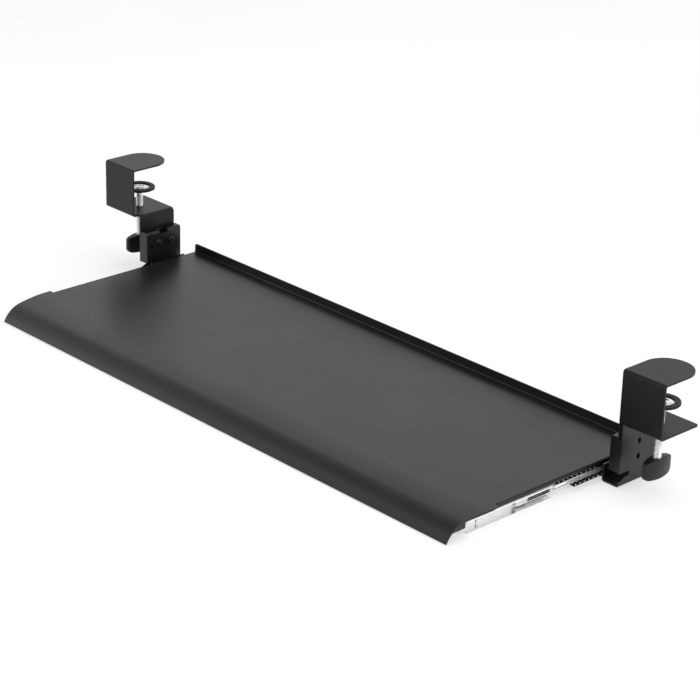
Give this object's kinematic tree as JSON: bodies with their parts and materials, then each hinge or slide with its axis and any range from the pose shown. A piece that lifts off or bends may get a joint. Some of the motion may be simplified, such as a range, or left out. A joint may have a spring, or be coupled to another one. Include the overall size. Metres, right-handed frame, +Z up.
{
  "type": "under-desk keyboard tray",
  "caption": "Pull-out keyboard tray with a rolled palm edge and a rear lip, running on telescopic ball slides hung from screw clamps that grip the front edge of a desk.",
  "frame": {"origin": "on the desk's front edge line, midway between the clamps, at the height of the desk's top face", "axes": "+X along the desk edge to the user's right, +Y away from the user, +Z up; drawn with the tray pulled out"},
  "size_m": [0.8316, 0.27, 0.1253],
  "materials": {
    "powder_black": "fine textured powder coat",
    "zinc": "bright zinc plate",
    "screw_black": "black oxide",
    "cage_black": "moulded",
    "ball_steel": "polished",
    "knob_black": "satin moulded",
    "pad_rubber": "matte"
  },
  "bodies": {
    "desk_mount": {"left_clamp_bracket": "powder_black", "left_clamp_nut": "zinc", "left_hanger": "powder_black", "left_hanger_screws": "screw_black", "left_spacers": "zinc", "left_desk_rail": "powder_black", "right_clamp_bracket": "powder_black", "right_clamp_nut": "zinc", "right_hanger": "powder_black", "right_hanger_screws": "screw_black", "right_spacers": "zinc", "right_desk_rail": "powder_black"},
    "tray": {"tray_panel": "powder_black", "left_rail_angle": "powder_black", "left_tray_rail": "zinc", "left_tray_rail_screws": "zinc", "right_rail_angle": "powder_black", "right_tray_rail": "zinc", "right_tray_rail_screws": "zinc"},
    "left_middle": {"left_middle_rail": "zinc", "left_rail_stop": "zinc"},
    "left_front_cage": {"left_front_cage": "cage_black", "left_front_balls": "ball_steel"},
    "left_rear_cage": {"left_rear_cage": "cage_black", "left_rear_balls": "ball_steel"},
    "left_pad": {"left_pad_dish": "zinc", "left_pad_ring": "pad_rubber", "left_pad_washer": "pad_rubber"},
    "left_screw": {"left_clamp_screw": "zinc", "left_clamp_knob": "knob_black"},
    "right_middle": {"right_middle_rail": "zinc", "right_rail_stop": "zinc"},
    "right_front_cage": {"right_front_cage": "cage_black", "right_front_balls": "ball_steel"},
    "right_rear_cage": {"right_rear_cage": "cage_black", "right_rear_balls": "ball_steel"},
    "right_pad": {"right_pad_dish": "zinc", "right_pad_ring": "pad_rubber", "right_pad_washer": "pad_rubber"},
    "right_screw": {"right_clamp_screw": "zinc", "right_clamp_knob": "knob_black"}
  },
  "joints": [
    {"name": "tray_slide", "type": "slide", "parent": "desk_mount", "child": "tray", "axis": [0, 1, 0], "range_m": [0, 0.141]},
    {"name": "left_middle_slide", "type": "slide", "parent": "desk_mount", "child": "left_middle", "axis": [0, 1, 0], "range_m": [0, 0.0705]},
    {"name": "left_front_cage_slide", "type": "slide", "parent": "desk_mount", "child": "left_front_cage", "axis": [0, 1, 0], "range_m": [0, 0.10575]},
    {"name": "left_rear_cage_slide", "type": "slide", "parent": "desk_mount", "child": "left_rear_cage", "axis": [0, 1, 0], "range_m": [0, 0.03525]},
    {"name": "left_pad_lift", "type": "slide", "parent": "desk_mount", "child": "left_pad", "axis": [0, 0, 1], "range_m": [-0.015, 0.025]},
    {"name": "left_screw_turn", "type": "hinge", "parent": "left_pad", "child": "left_screw", "pos_m": [-0.3905, 0.0269, -0.0364], "axis": [0, 0, 1], "range_deg": [-4320, 7200]},
    {"name": "right_middle_slide", "type": "slide", "parent": "desk_mount", "child": "right_middle", "axis": [0, 1, 0], "range_m": [0, 0.0705]},
    {"name": "right_front_cage_slide", "type": "slide", "parent": "desk_mount", "child": "right_front_cage", "axis": [0, 1, 0], "range_m": [0, 0.10575]},
    {"name": "right_rear_cage_slide", "type": "slide", "parent": "desk_mount", "child": "right_rear_cage", "axis": [0, 1, 0], "range_m": [0, 0.03525]},
    {"name": "right_pad_lift", "type": "slide", "parent": "desk_mount", "child": "right_pad", "axis": [0, 0, 1], "range_m": [-0.015, 0.025]},
    {"name": "right_screw_turn", "type": "hinge", "parent": "right_pad", "child": "right_screw", "pos_m": [0.3905, 0.0269, -0.0364], "axis": [0, 0, 1], "range_deg": [-4320, 7200]}
  ],
  "couplings": [
    {"joint": "left_middle_slide", "follows": "tray_slide", "ratio": 0.5},
    {"joint": "left_front_cage_slide", "follows": "tray_slide", "ratio": 0.75},
    {"joint": "left_rear_cage_slide", "follows": "tray_slide", "ratio": 0.25},
    {"joint": "left_screw_turn", "follows": "left_pad_lift", "rad_per_m": 5026.5},
    {"joint": "right_middle_slide", "follows": "tray_slide", "ratio": 0.5},
    {"joint": "right_front_cage_slide", "follows": "tray_slide", "ratio": 0.75},
    {"joint": "right_rear_cage_slide", "follows": "tray_slide", "ratio": 0.25},
    {"joint": "right_screw_turn", "follows": "right_pad_lift", "rad_per_m": 5026.5}
  ]
}
